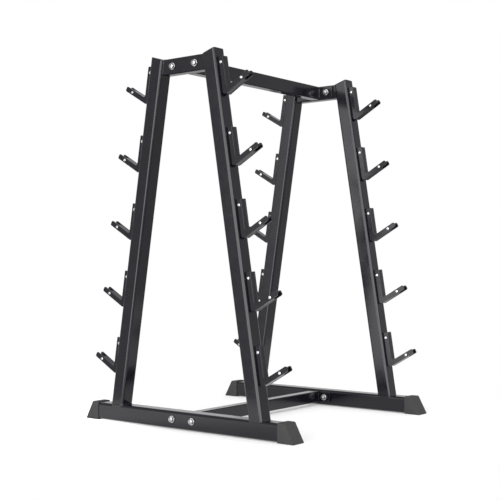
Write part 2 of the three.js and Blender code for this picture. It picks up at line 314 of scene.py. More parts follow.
def slab(outline, low, high, rim, steps=4):
    """A flat piece from one height to another. Its rows turn through a quarter circle at each face:
    at an angle a they lie rim (1 - cos a) inside the outline and rim sin a past the rim's middle."""
    flat, normals = outline
    turn = np.radians(np.r_[np.linspace(-90, 0, steps + 1), np.linspace(0, 90, steps + 1)])
    turn = turn[:, None, None]
    centre = np.repeat([low + rim, high - rim], steps + 1)[:, None, None]
    rows = flat - rim * (1 - np.cos(turn)) * normals
    height = np.broadcast_to(centre + rim * np.sin(turn), rows.shape[:2] + (1,))
    rise = np.broadcast_to(np.sin(turn), height.shape)
    points = np.concatenate([rows, height], -1)
    return points, np.concatenate([np.cos(turn) * normals, rise], -1), "lids"


ROUND = np.radians(np.arange(0, 360, 7.5))  # Angles of the points round bolts, nuts and washers
SCREW_ROUND = np.radians(np.arange(0, 360, 15))  # Angles of the points round the hooks' screws


def ring(radius, height, around=ROUND):
    """Points at some angles round the Z axis, at one radius or one for each angle."""
    height = np.broadcast_to(height, around.shape)
    return np.stack([radius * np.cos(around), radius * np.sin(around), height], -1)


def turned(matrix, skin):
    """A skin under a matrix: points by the matrix, normals by the inverse of its transpose."""
    points, normals, ends = skin
    shape = matrix[:3, :3]
    if normals is not None:
        normals = unit(normals @ np.linalg.inv(shape))
    return points @ shape.T + matrix[:3, 3], normals, ends


def placed(axes, origin):
    """The matrix that puts a piece drawn on the given axes at an origin."""
    matrix = np.eye(4)
    matrix[:3, :3] = axes
    matrix[:3, 3] = origin
    return matrix


def shifted(matrix, *step):
    """A matrix after a step along the axes of the piece that it moves."""
    return matrix @ np.array(Matrix.Translation(step))


def side_matrix(place):
    """The matrix from a side of an end frame, drawn for +X with its middle at Y = 0, to its place."""
    end, side = place.split("_")
    turn = Matrix.Rotation(math.pi if side == "left" else 0, 4, "Z")
    return np.array(Matrix.Translation((0, middle(f"base_tube_{end}")[1], 0)) @ turn)


def leg_matrix(sizes, place):
    """The matrix of a leg's own frame: Z up its middle from the leg's lower end, X out of the rack."""
    low, high = span("leg_front_right")
    foot = (high[0] - leg_width() / 2 / math.cos(sizes.lean), 0, low[2])
    lean = Matrix.Translation(foot) @ Matrix.Rotation(-sizes.lean, 4, "Y")
    return side_matrix(place) @ np.array(lean)


def leg_length(sizes):
    """Length of a leg's middle line, from its lower end to the middle of its cap's top."""
    half = leg_width() / 2
    rise = span("leg_cap_front_right")[1][2] - span("leg_front_right")[0][2]
    edge = (rise - half * math.sin(sizes.lean)) / math.cos(sizes.lean)
    return edge - half * math.tan(sizes.top_slope - sizes.lean)


def top_cut(sizes, drop):
    """The cutting plane of a leg's top, in the leg's frame, a distance down the leg."""
    return leg_length(sizes) - drop, math.tan(sizes.top_slope - sizes.lean), 0


BEAD_ROWS = 7  # Rows of points across a bead
BEAD_TAPER = 2  # Length of a bead's round end, in widths
BEAD_TIP = 0.02  # The last section of a round end, as a share of it
CRESCENT = 0.45  # How far the middle of a ripple runs ahead, in pitches
BURIED = -0.5  # How far the rows inside the metal are from the faces, in widths


def bead(path, foot, head, away, sizes, closed):
    """A weld bead in the corner between two faces. Its section runs from the end of foot, on one
    face, to the end of head, on the other: at share s it lies at (1 - s) foot + s head, pushed away
    from the corner by sin(pi s) times a bulge that crescent ripples make deeper. Two rows close it
    inside the metal. The path carries the section, which narrows to round ends where it is open."""
    steps = np.diff(path, axis=0, append=path[:1])
    run = np.r_[0, np.cumsum(np.linalg.norm(steps, axis=1))[:-1]]
    width = np.linalg.norm(head, axis=-1).max()
    total = run[-1] + closed * np.linalg.norm(steps[-1])
    ripples = max(1, round(total / sizes.pitch))
    from_end = 1 if closed else np.minimum(run, total - run) / (BEAD_TAPER * width)
    narrow = np.sqrt(1 - (1 - np.clip(from_end, BEAD_TIP, 1)) ** 2) * np.ones_like(run)
    share = np.linspace(0, 1, BEAD_ROWS)[:, None]
    arch = np.sin(math.pi * share)
    crescent = np.cos(math.pi * (run / total * ripples - CRESCENT * arch)) ** 2
    swell = arch * (sizes.bulge + sizes.ripple * (crescent - 0.5))
    buried = np.full((1, len(run)), BURIED)
    shares = np.r_[share, [[1], [0]]][..., None]
    push = width * np.r_[swell, buried, buried][..., None]
    rows = path + narrow[:, None] * ((1 - shares) * foot + shares * head + push * away)
    return rows.transpose(1, 0, 2), None, "joined" if closed else "lids"


def evenly(outline, spacing):
    """The points and the unit normals of a closed outline, at an even spacing along it."""
    looped = [np.r_[values, values[:1]] for values in outline]
    run = np.r_[0, np.cumsum(np.linalg.norm(np.diff(looped[0], axis=0), axis=1))]
    at = np.linspace(0, run[-1], max(8, round(run[-1] / spacing)), endpoint=False)
    points, normals = (
        np.stack([np.interp(at, run, column) for column in values.T], 1) for values in looped
    )
    return points, unit(normals)


# Meshes and pieces


def skin_faces(start, rows, columns, ends):
    """Faces of a skin whose points are numbered from start and whose columns run round: quads
    between its rows, and then either a lid on each end or quads from the last row to the first."""
    index = start + np.arange(rows * columns).reshape(rows, columns)
    if ends == "joined":
        index = np.r_[index, index[:1]]
    below, above = index[:-1], index[1:]
    quads = np.stack([below, np.roll(below, -1, 1), np.roll(above, -1, 1), above], -1)
    faces = quads.reshape(-1, 4).tolist()
    if ends == "lids":
        faces += [index[0, ::-1].tolist(), index[-1].tolist()]
    return faces


SHARP = math.radians(32)  # Where faces meet at more than this angle, they have a sharp edge


def skin_mesh(name, skins):
    """One mesh of one or more closed skins, with faces outward."""
    mesh = bpy.data.meshes.new(name)
    points, faces, normals, start = [], [], [], 0
    for grid, facing, ends in skins:
        rows, columns = grid.shape[:2]
        points.append(grid.reshape(-1, 3))
        faces += skin_faces(start, rows, columns, ends)
        if facing is not None:
            normals.append(facing.reshape(-1, 3))
        start += rows * columns
    mesh.from_pydata(np.concatenate(points), [], faces)
    mesh.validate()
    check = bmesh.new()
    check.from_mesh(mesh)
    bmesh.ops.recalc_face_normals(check, faces=check.faces)
    if check.calc_volume(signed=True) < 0:
        bmesh.ops.reverse_faces(check, faces=check.faces)
    open_edges = sum(not edge.is_manifold for edge in check.edges)
    check.to_mesh(mesh)
    check.free()
    if open_edges:
        raise ValueError(f"{name} isn't closed: {open_edges} open edges")
    mesh.shade_smooth()
    if normals:
        mesh.normals_split_custom_set_from_vertices(np.concatenate(normals))
    else:
        mesh.set_sharp_from_angle(angle=SHARP)
    return mesh


def add_piece(name, skins, slot, *nodes, surface=None):
    """Puts a piece in the scene, with its finish, and hides the nodes of the frame it stands for."""
    piece = bpy.data.objects.new(name, skin_mesh(name, skins))
    bpy.context.scene.collection.objects.link(piece)
    piece.data.materials.append(finish(surface or slot))
    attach(piece, "root")
    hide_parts(*nodes)


# Materials


def add_node(tree, kind, inputs=None, **settings):
    """A node with its settings. An input takes a value, or a socket that is linked to it."""
    node = tree.nodes.new(kind)
    for setting, value in settings.items():
        setattr(node, setting, value)
    for key, value in (inputs or {}).items():
        if isinstance(value, bpy.types.NodeSocket):
            tree.links.new(value, node.inputs[key])
        else:
            node.inputs[key].default_value = value
    return node


def noise(tree, place, scale, detail=2, roughness=0.5):
    inputs = {"Vector": place, "Scale": scale, "Detail": detail, "Roughness": roughness}
    return add_node(tree, "ShaderNodeTexNoise", inputs).outputs["Fac"]


def between(tree, value, low, high, to_low=0, to_high=1, curve="LINEAR"):
    """A value carried from one range to another, and held at its ends."""
    limits = {"From Min": low, "From Max": high, "To Min": to_low, "To Max": to_high}
    inputs = {"Value": value, **limits}
    node = add_node(tree, "ShaderNodeMapRange", inputs, interpolation_type=curve)
    return node.outputs["Result"]


def faded(tree, value, none, full):
    """0 to 1, on a smooth slope between two values."""
    return between(tree, value, none, full, curve="SMOOTHSTEP")


def blended(tree, share, first, second):
    """A colour between two others, each a socket or a value with its alpha."""
    inputs = {"Factor": share, 6: first, 7: second}
    return add_node(tree, "ShaderNodeMix", inputs, data_type="RGBA").outputs[2]


def arithmetic(tree, operation, *values):
    node = add_node(tree, "ShaderNodeMath", dict(enumerate(values)), operation=operation)
    return node.outputs["Value"]


def emptied(block):
    """The node tree of a new material or world, with nothing in it."""
    block.use_nodes = True
    block.node_tree.nodes.clear()
    return block.node_tree


PATCHY = (0.3, 0.7)  # The values of a noise between which a surface goes from shiny to dull


def surface_group(name, pattern):
    """The node group of a surface. It takes the colours of the ground and of the veil of dust, bloom
    or tarnish over it, and the roughness where it shines and where it is dull. It gives the colour,
    the roughness and the height at each place."""
    if name in bpy.data.node_groups:
        return bpy.data.node_groups[name]
    group = bpy.data.node_groups.new(name, "ShaderNodeTree")
    for way, kind, sockets in (
        ("INPUT", "NodeSocketColor", ("Ground", "Veil")),
        ("INPUT", "NodeSocketFloat", ("Shiny", "Dull")),
        ("OUTPUT", "NodeSocketColor", ("Colour",)),
        ("OUTPUT", "NodeSocketFloat", ("Roughness", "Height")),
    ):
        for socket in sockets:
            group.interface.new_socket(socket, in_out=way, socket_type=kind)
    given = add_node(group, "NodeGroupInput").outputs
    place = add_node(group, "ShaderNodeTexCoord").outputs["Object"]
    veil, patches, height = pattern(group, place)
    results = {
        "Colour": blended(group, veil, given["Ground"], given["Veil"]),
        "Roughness": between(group, patches, *PATCHY, given["Shiny"], given["Dull"]),
        "Height": height,
    }
    add_node(group, "NodeGroupOutput", results)
    return group


def powder_coat(tree, place):
    """Faint dust in large clouds, hazy patches, and orange peel of two sizes."""
    clouds = noise(tree, place, scale=7, detail=4, roughness=0.6)
    haze = noise(tree, place, scale=38, detail=3)
    peel = noise(tree, place, scale=620, detail=1)
    swell = noise(tree, place, scale=150, detail=1)
    height = arithmetic(tree, "MULTIPLY_ADD", swell, 1.6, peel)
    return between(tree, clouds, 0.42, 0.75), haze, height


def moulded_rubber(tree, place):
    """A pale bloom in patches and scuffs, and a coarse spark-eroded grain."""
    patches = noise(tree, place, scale=26, detail=5, roughness=0.65)
    grain = noise(tree, place, scale=900)
    bloom = arithmetic(tree, "ADD", patches, grain)
    return between(tree, bloom, 0.75, 1.35), patches, grain


def moulded_plastic(tree, place):
    """Slightly glossier patches in a fine satin grain."""
    patches = noise(tree, place, scale=60, detail=3)
    return between(tree, patches, 0.4, 0.8), patches, noise(tree, place, scale=1100, detail=1)


def zinc_plate(tree, place):
    """Dull patches between bright ones, and a fine drawn grain."""
    patches = noise(tree, place, scale=260, detail=4, roughness=0.6)
    drawn = add_node(tree, "ShaderNodeMapping", {"Vector": place, "Scale": (1, 1, 9)})
    grain = noise(tree, drawn.outputs["Vector"], scale=500)
    return between(tree, patches, 0.45, 0.75), patches, grain


# For each surface: its pattern, its two colours, its roughness where it is shiny and where it is
# dull, the depth of its relief, metal and IOR
SURFACES = {
    "black_paint": (powder_coat, "paint", "dust", 0.13, 0.18, 0.000012, 0, 1.42),
    "hook_paint": (powder_coat, "paint", "dust", 0.13, 0.18, 0.000012, 0, 1.42),
    "black_plastic": (moulded_plastic, "plastic", "dust", 0.36, 0.46, 0.00003, 0, 1.49),
    "black_rubber": (moulded_rubber, "rubber", "bloom", 0.62, 0.8, 0.00012, 0, 1.2),
    "zinc_steel": (zinc_plate, "zinc", "tarnish", 0.2, 0.36, 0.00001, 1, 1.5),
    # A darker copy of the zinc for the bolts and nuts: painted shade
    "shaded_bolt_steel": (zinc_plate, "bolt", "stain_and_shade", 0.2, 0.36, 0.00001, 1, 1.5),
}


def finish(surface):
    """The material of a surface: its pattern in its own two colours, dented by its own height."""
    name = f"{surface}_finish"
    if name in bpy.data.materials:
        return bpy.data.materials[name]
    pattern, ground, veil, shiny, dull, relief, metal, ior = SURFACES[surface]
    colours = bpy.context.scene.rack_finishes
    material = bpy.data.materials.new(name)
    tree = emptied(material)
    own = {
        "Ground": (*getattr(colours, ground), 1),
        "Veil": (*getattr(colours, veil), 1),
        "Shiny": shiny,
        "Dull": dull,
    }
    group = surface_group(pattern.__name__, pattern)
    look = add_node(tree, "ShaderNodeGroup", own, node_tree=group)
    dents = {"Height": look.outputs["Height"], "Distance": relief}
    inputs = {
        "Base Color": look.outputs["Colour"],
        "Roughness": look.outputs["Roughness"],
        "Normal": add_node(tree, "ShaderNodeBump", dents).outputs["Normal"],
        "Metallic": metal,
        "IOR": ior,
    }
    shader = add_node(tree, "ShaderNodeBsdfPrincipled", inputs)
    add_node(tree, "ShaderNodeOutputMaterial", {"Surface": shader.outputs["BSDF"]})
    return material


# Tubes, plates, caps and feet


class RACK_OT_legs(bpy.types.Operator):
    """Make the four leaning legs: square tube cut level at the foot and on a slope at the top"""

    bl_idname = "rack.legs"
    bl_label = "Legs"

    def execute(self, context):
        sizes = context.scene.rack_tubes
        size = leg_width()
        foot = (0, -math.tan(sizes.lean), 0)
        top = top_cut(sizes, sizes.cap_thickness)
        leg = tube(size, size, sizes.corner, sizes.wall, foot, top)
        for place in PLACES:
            skin = turned(leg_matrix(sizes, place), leg)
            add_piece(f"leg_tube_{place}", [skin], "black_paint", f"leg_{place}")
        return {"FINISHED"}


class RACK_OT_leg_caps(bpy.types.Operator):
    """Make the moulded caps in the legs' tops, each with its plug inside the tube"""

    bl_idname = "rack.leg_caps"
    bl_label = "Leg caps"

    def execute(self, context):
        sizes = context.scene.rack_tubes
        size = leg_width()
        inside = size - 2 * (sizes.wall + sizes.gap)
        plug, plug_normals = rectangle(inside, inside, sizes.corner - sizes.wall)
        thick = sizes.cap_thickness
        outline = rectangle(size, size, sizes.corner)
        lid = slab(outline, sizes.gap - thick, 0, sizes.cap_rim, steps=5)
        depths = (-thick - sizes.cap_plug, sizes.gap - thick)
        points = [lifted(plug, level(depth)) for depth in depths]
        facing = [lifted(plug_normals, level(0))] * 2
        cap = np.concatenate([points, lid[0]]), np.concatenate([facing, lid[1]]), "lids"
        rise, slope, _ = top_cut(sizes, 0)
        shear = np.eye(4)
        shear[2, 0], shear[2, 3] = slope, rise
        for place in PLACES:
            skin = turned(leg_matrix(sizes, place) @ shear, cap)
            add_piece(f"cap_{place}", [skin], "black_plastic", f"leg_cap_{place}")
        return {"FINISHED"}


def add_bar(name, node, axes, corner, wall, slope=0):
    """A tube of the size of its node, along one of the rack's axes. Where its ends slope, its lower
    side is the longer one."""
    low, high = span(node)
    width, height, reach = axes.T @ (high - low)
    half = (reach - height * slope) / 2
    bar = tube(width, height, corner, wall, (-half, 0, slope), (half, 0, -slope))
    add_piece(name, [turned(placed(axes, middle(node)), bar)], "black_paint", node)


class RACK_OT_base_tubes(bpy.types.Operator):
    """Make the two base tubes that the legs stand on"""

    bl_idname = "rack.base_tubes"
    bl_label = "Base tubes"

    def execute(self, context):
        sizes = context.scene.rack_tubes
        for end in ENDS:
            add_bar(f"base_{end}", f"base_tube_{end}", ALONG_X, sizes.corner, sizes.wall)
        return {"FINISHED"}


class RACK_OT_ties(bpy.types.Operator):
    """Make the ties between the tops of each frame's legs, cut to the legs' lean"""

    bl_idname = "rack.ties"
    bl_label = "Top ties"

    def execute(self, context):
        sizes = context.scene.rack_tubes
        own = sizes.tie_corner, sizes.wall, math.tan(sizes.lean)
        for end in ENDS:
            add_bar(f"tie_{end}", f"top_tie_{end}", ALONG_X, *own)
        return {"FINISHED"}


class RACK_OT_beams(bpy.types.Operator):
    """Make the upper and the lower beam between the end frames"""

    bl_idname = "rack.beams"
    bl_label = "Beams"

    def execute(self, context):
        sizes = context.scene.rack_tubes
        for beam in BEAMS:
            add_bar(f"beam_{beam}", f"{beam}_beam", ALONG_Y, sizes.beam_corner, sizes.wall)
        return {"FINISHED"}


class RACK_OT_beam_plates(bpy.types.Operator):
    """Make the four plates on the beams' ends, which the bolts clamp to the end frames"""

    bl_idname = "rack.beam_plates"
    bl_label = "Beam plates"

    def execute(self, context):
        sizes = context.scene.rack_tubes
        for beam, end in JOINTS:
            node = f"{beam}_beam_plate_{end}"
            low, high = span(node)
            width, thick, height = high - low
            outline = rectangle(width, height, sizes.plate_corner)
            plate = slab(outline, -thick / 2, thick / 2, sizes.plate_rim)
            skin = turned(placed(SIDEWAYS, middle(node)), plate)
            add_piece(f"plate_{beam}_{end}", [skin], "black_paint", node)
        return {"FINISHED"}


class RACK_OT_feet(bpy.types.Operator):
    """Make the rubber sleeves over the base tubes' ends, with their sloped toes"""

    bl_idname = "rack.feet"
    bl_label = "Feet"

    def execute(self, context):
        sizes = context.scene.rack_tubes
        low, high = span("foot_front_right")
        size = high - low
        base = span("base_tube_front")
        tube_size = (base[1] - base[0])[1:] + 2 * sizes.gap
        pocket, _ = rectangle(*tube_size, sizes.corner)
        flat, normals = rectangle(size[1], size[2], sizes.foot_corner)
        slope = (size[0] - sizes.foot_top) / size[2]
        toe = (low[0] + (sizes.foot_top + size[0]) / 2, 0, -slope)
        rows = [lifted(pocket, level(base[1][0] + sizes.gap)), lifted(pocket, level(low[0]))]
        turn = np.radians(np.linspace(0, 90, 5))
        for step in turn:
            edge = flat - sizes.foot_lip * (1 - np.sin(step)) * normals
            rows.append(lifted(edge, level(low[0] + sizes.foot_lip * (1 - np.cos(step)))))
        for step in turn:
            edge = flat - sizes.foot_edge * (1 - np.cos(step)) * normals
            back = sizes.foot_edge * (1 - np.sin(step))
            rows.append(lifted(edge, (toe[0] - back, 0, toe[2])))
        foot = np.array(rows), None, "lids"
        origin = np.array((0, 0, low[2] + size[2] / 2))
        for place in PLACES:
            matrix = side_matrix(place) @ placed(ALONG_X, origin)
            add_piece(f"sleeve_{place}", [turned(matrix, foot)], "black_rubber", f"foot_{place}")
        return {"FINISHED"}


# Hooks


def hook_outline(sizes, lean, setback=0, inset=0):
    """The outline of a hook, drawn with y up the leg from the arm's lower edge and x off the leg.
    The saddle's corner is where the arm's upper edge crosses the limb's face. The arm's end may be
    set back, and the edges moved in."""
    tilt = sizes.arm_rise - lean
    arm = np.array((math.cos(tilt), math.sin(tilt)))
    across = np.array((-arm[1], arm[0])) * sizes.arm_width
    end = arm * (sizes.arm_length - setback)
    saddle = arm * (sizes.limb_width + sizes.arm_width * arm[1]) / arm[0]
    points, normals = rounded_outline(
        [
            (0, 0, sizes.root_radius),
            (*end, sizes.tip_radius),
            (*(end + across), sizes.tip_radius),
            (*(saddle + across), sizes.saddle_radius),
            (sizes.limb_width, sizes.limb_length, sizes.top_radius),
            (0, sizes.limb_length, sizes.top_radius),
        ],
        steps=8,
    )
    return points - inset * normals, normals


# Shares of the socket's radius and of the head's height, from the socket's floor to its edge
SOCKET_ROWS = ((0.98, 0.35), (1, 0.93), (1.08, 1))
DOME_TOP = 1.2  # Radius of the dome's flat top, as a share of the socket's mean radius
DOME_FOOT = 0.25  # Height of the dome's foot, as a share of the head's height
DOME_TURNS = np.radians((62, 45, 28, 12, 0))  # Angles of the dome's rows over its foot
# Shares of the head's radius and height, at its edge
HEAD_ROWS = ((1, 0.1), (0.96, 0))


def hexagon(width, around):
    """Distance from the middle of a hexagon to its side: half its width across the flats, over the
    cosine of the angle from the middle of the nearest side."""
    return width / 2 / np.cos(np.mod(around, math.pi / 3) - math.pi / 6)


def screw_skin(sizes, reach):
    """A screw through a hook, with a button head on each side: circles of radius r at the height z of
    a dome and its shank. In the end of each head they give way to the hexagon of a socket."""
    socket = hexagon(sizes.screw_socket, SCREW_ROUND)
    head, rise = sizes.screw_head / 2, sizes.screw_height
    top = socket.mean() * DOME_TOP
    rows = [(socket * wide, reach + high * rise) for wide, high in SOCKET_ROWS]
    for turn in DOME_TURNS:
        height = DOME_FOOT + (1 - DOME_FOOT) * math.sin(turn)
        rows.append((top + (head - top) * math.cos(turn), reach + height * rise))
    rows += [(head * wide, reach + high * rise) for wide, high in HEAD_ROWS]
    rows.append((sizes.screw_shank / 2, reach))
    rows = [(r, -z) for r, z in rows] + [(r, z) for r, z in reversed(rows)]
    return np.array([ring(r, z, SCREW_ROUND) for r, z in rows]), None, "lids"


class RACK_OT_hooks(bpy.types.Operator):
    """Make the twenty hooks: two side plates, the core between them, and two screws through all"""

    bl_idname = "rack.hooks"
    bl_label = "Hooks"

    def execute(self, context):
        scene = context.scene
        sizes, tubes = scene.rack_hooks, scene.rack_tubes
        low, high = span("hook_front_right_1")
        half = (high[1] - low[1]) / 2 - sizes.screw_height
        plate_inside = half - sizes.plate_thickness
        outline = hook_outline(sizes, tubes.lean)
        core_outline = hook_outline(sizes, tubes.lean, sizes.core_setback, sizes.core_depth)
        core_half = plate_inside - sizes.core_gap
        tilt = sizes.arm_rise - tubes.lean
        along, across = sizes.arm_length - sizes.arm_screw, sizes.arm_width / 2
        arm_spot = (
            along * math.cos(tilt) - across * math.sin(tilt),
            along * math.sin(tilt) + across * math.cos(tilt),
        )
        limb_spot = (sizes.limb_screw_inset, sizes.limb_length - sizes.limb_screw_drop)
        arm_screw, limb_screw = (
            turned(shifted(np.eye(4), *spot, 0), screw_skin(sizes, half))
            for spot in (arm_spot, limb_spot)
        )
        front_plate = slab(outline, plate_inside, half, sizes.plate_rim)
        rear_plate = slab(outline, -half, -plate_inside, sizes.plate_rim)
        core = slab(core_outline, -core_half, core_half, sizes.core_rim)
        pieces = (
            ("hook_plate_{}_front", front_plate, "hook_paint"),
            ("hook_plate_{}_rear", rear_plate, "hook_paint"),
            ("hook_core_{}", core, "hook_paint"),
            ("hook_screw_{}_arm", arm_screw, "zinc_steel"),
            ("hook_screw_{}_limb", limb_screw, "zinc_steel"),
        )
        for place in PLACES:
            for number in range(1, 6):
                node = f"hook_{place}_{number}"
                matrix = hook_matrix(tubes, outline[0], place, number)
                for name, skin, slot in pieces:
                    name = name.format(f"{place}_{number}")
                    add_piece(name, [turned(matrix, skin)], slot, node)
        return {"FINISHED"}


def hook_matrix(sizes, outline, place, number):
    """The matrix of a hook, drawn as in hook_outline, on the outer face of its leg. It stands where
    its lowest point is at the height of the lowest point of its node."""
    face = leg_width() / 2 + sizes.gap
    matrix = leg_matrix(sizes, place) @ placed(SIDEWAYS, (face, 0, 0))
    lowest = turned(matrix, (lifted(outline, level(0)), None, None))[0][:, 2].min()
    rise = (span(f"hook_{place}_{number}")[0][2] - lowest) / math.cos(sizes.lean)
    return shifted(matrix, 0, rise, 0)


# Bolts, nuts and washers


THREAD_ROWS = 6  # Rows of points in one turn of a thread
NOTCH = 1.5  # The higher, the narrower the thread's notch
BOLT_POINT = 0.96  # Radius of a bolt's point, as a share of its thread's root
NUT_BEVEL = 0.12  # Width and depth of the bevel in a nut's bore, as a share of the bore


def hexagon_radius(sizes):
    """The radii of a bolt's or nut's hexagon, with its corners cut by a circle."""
    corner = sizes.hexagon / 2 / math.cos(math.pi / 6)
    return np.minimum(hexagon(sizes.hexagon, ROUND), corner - sizes.hexagon_corner)


def chamfered_end(sizes, height, facing):
    """Two rows of a hexagon's end: where its side meets a cone of 30 degrees, and the flat circle
    inside. The cone lies lower by tan 30 degrees times the distance outside the circle."""
    outside = hexagon_radius(sizes)
    flat = sizes.hexagon / 2 * sizes.chamfer
    drop = (outside - flat) * math.tan(math.pi / 6)
    return ring(outside, height - facing * drop), ring(flat, height)


def threaded(sizes, start, end):
    """Rows of a screw thread: the radius falls by the thread's depth in a rounded notch that climbs
    by the pitch in one turn."""
    rows = np.linspace(start, end, max(2, round((end - start) / sizes.pitch * THREAD_ROWS)))
    turn = rows[:, None] / sizes.pitch - ROUND / (2 * math.pi)
    notch = (0.5 + 0.5 * np.cos(2 * math.pi * turn)) ** NOTCH
    radius = sizes.shank / 2 - sizes.thread * notch
    return [ring(r, z) for r, z in zip(radius, rows)]


def bolt_skin(sizes, tip):
    """A hexagon bolt along its own axis: its washer's face at height 0 and its point at the tip."""
    seat = -sizes.washer_height
    crown, flat = chamfered_end(sizes, seat - sizes.head, -1)
    shank = sizes.shank / 2
    start = tip - sizes.threaded
    rows = [flat, crown, ring(hexagon_radius(sizes), seat), ring(shank, seat)]
    rows.append(ring(shank, start - sizes.pitch / 2))
    rows += threaded(sizes, start, tip - sizes.thread)
    rows.append(ring((shank - sizes.thread) * BOLT_POINT, tip))
    return np.array(rows), None, "lids"


def washer_skin(sizes, play):
    """A flat washer: its section, a rectangle with rounded edges, turned about the axis."""
    bore, outside = sizes.shank / 2 + play, sizes.washer / 2
    section, _ = rectangle(outside - bore, sizes.washer_height, sizes.washer_rim, steps=3)
    middle_radius, middle_height = (outside + bore) / 2, sizes.washer_height / 2
    rows = [ring(middle_radius + x, middle_height + z) for x, z in section]
    return np.array(rows), None, "joined"


def nut_skin(sizes, height):
    """A hexagon nut on its washer, chamfered on both faces."""
    low, high = sizes.washer_height, sizes.washer_height + height
    crown, flat = chamfered_end(sizes, high, 1)
    lower_crown, lower_flat = chamfered_end(sizes, low, -1)
    bore = sizes.shank / 2 + sizes.nut_play
    bevel = bore * NUT_BEVEL
    rows = [ring(bore + bevel, low), lower_flat, lower_crown, crown, flat]
    rows += [ring(bore + bevel, high), ring(bore, high - bevel), ring(bore, low + bevel)]
    return np.array(rows), None, "joined"


def fasteners(part):
    """For each bolt or nut of the frame: the end of its name, its node, its length, and the matrix
    that sets a fastener's foot on the node's outer end, with its axis into the rack."""
    for beam, end in JOINTS:
        inward = 1 if end == "front" else -1
        for side in SIDES:
            node = f"{beam}_{part}_{end}_{side}"
            low, high = span(node)
            seat = middle(node)
            seat[1] = (low if end == "front" else high)[1]
            turn = Matrix.Rotation(-inward * math.pi / 2, 4, "X")
            matrix = np.array(Matrix.Translation(seat) @ turn)
            yield f"{beam}_{end}_{side}", node, high[1] - low[1], matrix


class RACK_OT_bolts(bpy.types.Operator):
    """Make the eight hexagon bolts through the joints, each with the washer under its head"""

    bl_idname = "rack.bolts"
    bl_label = "Bolts"

    def execute(self, context):
        sizes = context.scene.rack_bolts
        over = sizes.head + sizes.washer_height
        for name, node, reach, matrix in fasteners("bolt"):
            bolt = turned(shifted(matrix, 0, 0, over), bolt_skin(sizes, reach - over))
            add_piece(f"bolt_{name}", [bolt], "zinc_steel", node, surface="shaded_bolt_steel")
            under = shifted(matrix, 0, 0, sizes.head)
            washer = turned(under, washer_skin(sizes, sizes.washer_play))
            add_piece(f"bolt_washer_{name}", [washer], "zinc_steel", node)
        return {"FINISHED"}


class RACK_OT_nuts(bpy.types.Operator):
    """Make the eight nuts on the bolts, each with its washer on the beam's plate"""

    bl_idname = "rack.nuts"
    bl_label = "Nuts"

    def execute(self, context):
        sizes = context.scene.rack_bolts
        for name, node, reach, matrix in fasteners("nut"):
            nut = turned(matrix, nut_skin(sizes, reach - sizes.washer_height))
            add_piece(f"nut_{name}", [nut], "zinc_steel", node, surface="shaded_bolt_steel")
            washer = turned(matrix, washer_skin(sizes, sizes.nut_play))
            add_piece(f"nut_washer_{name}", [washer], "zinc_steel", node)
        return {"FINISHED"}


# Weld beads


class RACK_OT_welds(bpy.types.Operator):
    """Make the weld beads under the paint, round the legs' feet and the ties and on the beams' ends"""

    bl_idname = "rack.welds"
    bl_label = "Weld beads"

    def execute(self, context):
        sizes, tubes = context.scene.rack_welds, context.scene.rack_tubes
        for place in PLACES:
            add_piece(f"weld_foot_{place}", [foot_weld(sizes, tubes, place)], "black_paint")
            add_piece(f"weld_tie_{place}", [tie_weld(sizes, tubes, place)], "black_paint")
        for beam, end in JOINTS:
            beads = beam_welds(sizes, tubes, beam, end)
            add_piece(f"weld_beam_{beam}_{end}", beads, "black_paint")
        return {"FINISHED"}


def foot_weld(sizes, tubes, place):
    """The bead round a leg's foot. Beside the leg it lies on the base tube's flat top, and at its
    front and back it fills the space over the tube's rounded edge, corner (1 - |x normal|) deep."""
    size = leg_width()
    flat, normals = evenly(rectangle(size, size, tubes.corner), sizes.step)
    path = lifted(flat, (0, -math.tan(tubes.lean), 0))
    across, along = normals[:, :1], normals[:, 1:]
    drop = tubes.gap + tubes.corner * (1 - np.abs(across))
    lean = np.array(Matrix.Rotation(tubes.lean, 3, "Y"))
    none = np.zeros_like(across)
    foot = np.concatenate([sizes.bead * across, none, -drop], 1) @ lean.T
    head = np.array((0, 0, sizes.bead)) * np.ones_like(path)
    away = unit(np.concatenate([across, along, np.abs(across)], 1)) @ lean.T
    return turned(leg_matrix(tubes, place), bead(path, foot, head, away, sizes, True))


def tie_weld(sizes, tubes, place):
    """The bead round a tie's end, on the inner face of the leg."""
    end, _ = place.split("_")
    low, high = span(f"top_tie_{end}")
    _, width, height = high - low
    flat, normals = evenly(rectangle(width, height, tubes.tie_corner), sizes.step)
    slope = math.tan(tubes.lean)
    path = lifted(flat, (high[0] - height / 2 * slope, 0, -slope))
    foot = sizes.bead * unit(lifted(normals, (0, 0, -slope)))
    head = np.array((0, 0, -sizes.bead)) * np.ones_like(path)
    away = unit(foot + head)
    matrix = side_matrix(place) @ placed(ALONG_X, (0, 0, middle(f"top_tie_{end}")[2]))
    return turned(matrix, bead(path, foot, head, away, sizes, True))


def straight_bead(sizes, start, end, foot, head):
    count = max(8, round(np.linalg.norm(np.subtract(end, start)) / sizes.step))
    path = np.linspace(start, end, count)
    foot, head = (np.array(edge, float) * np.ones_like(path) for edge in (foot, head))
    return bead(path, foot, head, unit(foot + head), sizes, False)


def beam_welds(sizes, tubes, beam, end):
    """The two upright beads that join a beam's sides to the plate on its end."""
    low, high = span(f"{beam}_beam")
    plate_low, plate_high = span(f"{beam}_beam_plate_{end}")
    face = plate_high[1] if end == "front" else plate_low[1]
    inward = 1 if end == "front" else -1
    bottom = max(low[2], plate_low[2]) + tubes.beam_corner
    top = min(high[2], plate_high[2]) - tubes.beam_corner
    width = sizes.bead
    return [
        straight_bead(
            sizes,
            (side * high[0], face, bottom),
            (side * high[0], face, top),
            (side * width, 0, 0),
            (0, inward * width, 0),
        )
        for side in (-1, 1)
    ]


# Studio


